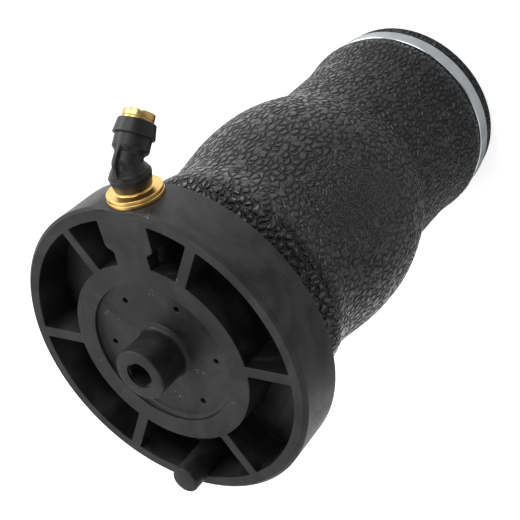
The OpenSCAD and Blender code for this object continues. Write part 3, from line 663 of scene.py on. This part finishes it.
# lengths are from the outlet's start, along its axis
cartridge = {
    "outletR": 6.2, "outletLen": 11.0, "collarR": 7.15, "collarTopR": 6.4, "collarLow": 8.95,
    "collarHigh": 14.0, "colletR": 5.4, "proud": 3.2, "bore": 3.255, "fit": 4.98, "step": 12.2,
    "guide": 4.35, "gripTop": 9.3, "gap": 0.06, "travel": 1.2, "headGap": 0.3, "noseGap": 0.35,
    "noseWall": 0.45, "noseLen": 1,
    "grooveAt": 0.75, "grooveHalf": 0.14, "grooveDepth": 0.2,
    # the collet's end in steps from its outer corner, and its mouth in steps from the bore
    "end": [(-0.35, 0), (-0.1, -0.12), (0, -0.4)], "mouth": [(0, 0.7), (-0.7, 0)],
    "notches": 4, "notchDepth": 0.45, "notchAngle": 6.5, "notchRun": 0.5, "notchWall": 0.6,
    "bevel": 0.3, "bevelSegments": 3, "round": 96,
    "colletBevel": 0.1, "colletSegments": 2, "colletRound": 144, "colletSmooth": 40,
}


def makeCollar(c):
    opening = c["colletR"] + c["gap"]
    profile = [(c["collarLow"], c["outletR"]), (c["collarLow"], c["collarR"]),
               (c["collarHigh"], c["collarTopR"]), (c["collarHigh"], opening),
               (c["step"], opening), (c["step"], c["guide"]),
               (c["gripTop"], c["guide"]), (c["gripTop"], c["fit"]), (c["outletLen"], c["fit"]),
               (c["outletLen"], c["outletR"])]
    piece = turned("collarRing", profile, "outlet", c["round"])
    addBevel(piece, c["bevel"], c["bevelSegments"])
    finish(piece, "elbow", fittingMaterial, "collar")


def cutNotches(piece, top, c):
    # the small notches in the collet's end
    origin, along, out = axes["outlet"]
    side = along.cross(out)
    for v in piece.data.vertices:
        p = v.co - origin
        s, a, b = p.dot(along) / mm, p.dot(out) / mm, p.dot(side) / mm
        if s > top - c["notchRun"] and math.hypot(a, b) > c["bore"] + c["notchWall"]:
            away = math.degrees(math.atan2(b, a)) % (360 / c["notches"]) - 180 / c["notches"]
            v.co -= along * (c["notchDepth"] * max(0.0, 1 - abs(away) / c["notchAngle"]) * mm)


def makeCollet(c):
    head = c["step"] + c["travel"] + c["headGap"]
    nose = c["gripTop"] + c["travel"] - c["noseGap"]
    top = c["collarHigh"] + c["proud"]
    groove = c["collarHigh"] + c["grooveAt"]
    inside = c["guide"] - c["gap"]
    profile = [(nose, c["bore"]), (nose, c["bore"] + c["noseWall"]), (nose + c["noseLen"], inside),
               (head, inside), (head, c["colletR"]), (groove - c["grooveHalf"], c["colletR"]),
               (groove, c["colletR"] - c["grooveDepth"]), (groove + c["grooveHalf"], c["colletR"])]
    profile += stretch(c["end"], top, c["colletR"]) + stretch(c["mouth"], top, c["bore"])
    piece = turned("releaseCollet", profile, "outlet", c["colletRound"], c["colletSmooth"])
    cutNotches(piece, top, c)
    addBevel(piece, c["colletBevel"], c["colletSegments"])
    finish(piece, "collet", colletMaterial, "release_collet")


makeCollar(cartridge)
makeCollet(cartridge)
print("fitting made")

carried = {
    "top_insert": insertMaterial, "lower_insert": insertMaterial, "bump_stop": urethaneMaterial,
    "port_seal": sealMaterial, "swivel_seal": sealMaterial, "tube_seal": sealMaterial,
    "swivel_clip": springSteelMaterial, "grip_ring": springSteelMaterial, "tube_support": brassMaterial,
    "seal_spacer": fittingMaterial,
}
for node, material in carried.items():
    dress(nodes[node], material)
print("carried-over pieces dressed")

# the photograph's camera: its place in metres and the directions of its picture
view = {"lens": 95.45, "sensor": 36, "nearest": 0.01, "at": (0.24880, -0.28303, 0.45564),
        "right": (-0.2140556, -0.8188655, -0.5325782), "up": (0.8420427, 0.1216697, -0.5255098),
        "back": (0.4951205, -0.5609420, 0.6634756)}
camera = bpy.data.cameras.new("camera")
camera.sensor_width = view["sensor"]
camera.lens = view["lens"]
camera.clip_start = view["nearest"]
cameraObject = bpy.data.objects.new("camera", camera)
cameraRows = list(zip(view["right"], view["up"], view["back"], view["at"]))
cameraObject.matrix_world = Matrix(cameraRows + [(0, 0, 0, 1)])
bpy.context.scene.collection.objects.link(cameraObject)
bpy.context.scene.camera = cameraObject

studio = {"centre": (0.0, 0.0, 0.11), "distance": 1.0, "size": 0.5}  # in metres
lights = {  # name: azimuth and elevation in degrees, power in watts
    "right": (0, 24, 3.5),
    "back": (45, 15, 3.6),
    "front": (315, 42, 1.0),
    "top": (90, 70, 3.6),
    "left": (260, 35, 0.5),
}


def addLamp(name, azimuth, elevation, power, s):
    a, e = math.radians(azimuth), math.radians(elevation)
    toward = Vector((math.cos(e) * math.cos(a), math.cos(e) * math.sin(a), math.sin(e)))
    lamp = bpy.data.lights.new(name, "AREA")
    lamp.shape = "RECTANGLE"
    lamp.size = lamp.size_y = s["size"]
    lamp.energy = power
    lampObject = bpy.data.objects.new(name, lamp)
    lampObject.location = Vector(s["centre"]) + toward * s["distance"]
    lampObject.rotation_euler = toward.to_track_quat("Z", "Y").to_euler()
    bpy.context.scene.collection.objects.link(lampObject)


for name, values in lights.items():
    addLamp(name, *values, studio)

# strengths of what the object and its reflections see, where 1 is white, and cosines where they change over
stage = {
    "world": 0.16, "room": 0.12, "roomSpan": (0.42, 0.82), "ceiling": 0.3, "ceilingSpan": (0.55, 0.85),
    "paper": 0.8, "glow": 0.78, "floorShade": 0.08, "floorSpan": (0.3, 0.9), "darkSide": 275, "reach": 0.06,
    "floorSize": 6.0, "floorZ": -0.0002,
}


def seenDirectly(t):
    # one where the camera looks at the background, straight or through glass, and one where a reflection does
    path = t.add("ShaderNodeLightPath").outputs
    return t.maths("MAXIMUM", path["Is Camera Ray"], path["Is Transmission Ray"]), path["Is Glossy Ray"]


def makeWorld(s):
    # the room behind the camera is dim in reflections, with a white panel on either side
    world = bpy.data.worlds.new("studio")
    world.use_nodes = True
    bpy.context.scene.world = world
    t = Tree(world.node_tree)
    backdrop = world.node_tree.nodes["Background"]
    direct, glossy = seenDirectly(t)
    toRoom = Vector((*view["back"][:2], 0)).normalized()
    spot = t.add("ShaderNodeTexCoord").outputs["Generated"]
    level = t.vector("NORMALIZE", t.vector("MULTIPLY", spot, (1, 1, 0)))
    outward = t.vector("DOT_PRODUCT", level, tuple(toRoom))
    upward = t.vector("DOT_PRODUCT", spot, (0, 0, 1))
    shade = t.maths("MULTIPLY", t.ramp(outward, *s["roomSpan"], 1.0, s["room"]),
                    t.ramp(upward, *s["ceilingSpan"], 1.0, s["ceiling"]))
    levels = t.maths("MAXIMUM", t.maths("MULTIPLY", glossy, shade), s["world"])
    t.link(t.maths("MAXIMUM", direct, levels), backdrop.inputs["Strength"])
    backdrop.inputs["Color"].default_value = (1, 1, 1, 1)


def makeFloor(s):
    # the floor glows evenly white where the camera sees it; in reflections it carries a painted shade, dimmed
    # to floorShade on the side that darkSide points to
    bm = bmesh.new()
    bmesh.ops.create_grid(bm, x_segments=1, y_segments=1, size=s["floorSize"])
    bmesh.ops.translate(bm, verts=bm.verts, vec=(0, 0, s["floorZ"]))
    floor = newMesh("floor", bm)
    paper = newMaterial("paper")
    direct, glossy = seenDirectly(paper)
    side = math.radians(s["darkSide"])
    toDark = (math.cos(side), math.sin(side), 0)
    flat = paper.vector("MULTIPLY", paper.coords, (1, 1, 0))
    fromEdge = paper.vector("ADD", flat, [c * s["reach"] for c in toDark])
    outward = paper.vector("DOT_PRODUCT", paper.vector("NORMALIZE", fromEdge), toDark)
    # painted shade on the floor, seen only in reflections
    dim = paper.ramp(outward, *s["floorSpan"], 1.0, s["floorShade"])
    seen = paper.maths("MAXIMUM", direct, paper.maths("MULTIPLY", glossy, dim))
    paper.set(color=(s["paper"],) * 3, roughness=1.0, specular=0.0)
    paper.shader.inputs["Emission Color"].default_value = (1, 1, 1, 1)
    paper.link(paper.maths("MULTIPLY", seen, s["glow"]), paper.shader.inputs["Emission Strength"])
    floor.data.materials.append(paper.material)


makeWorld(stage)
makeFloor(stage)
bpy.context.scene.view_settings.view_transform = "Standard"
print("camera, floor and light set")
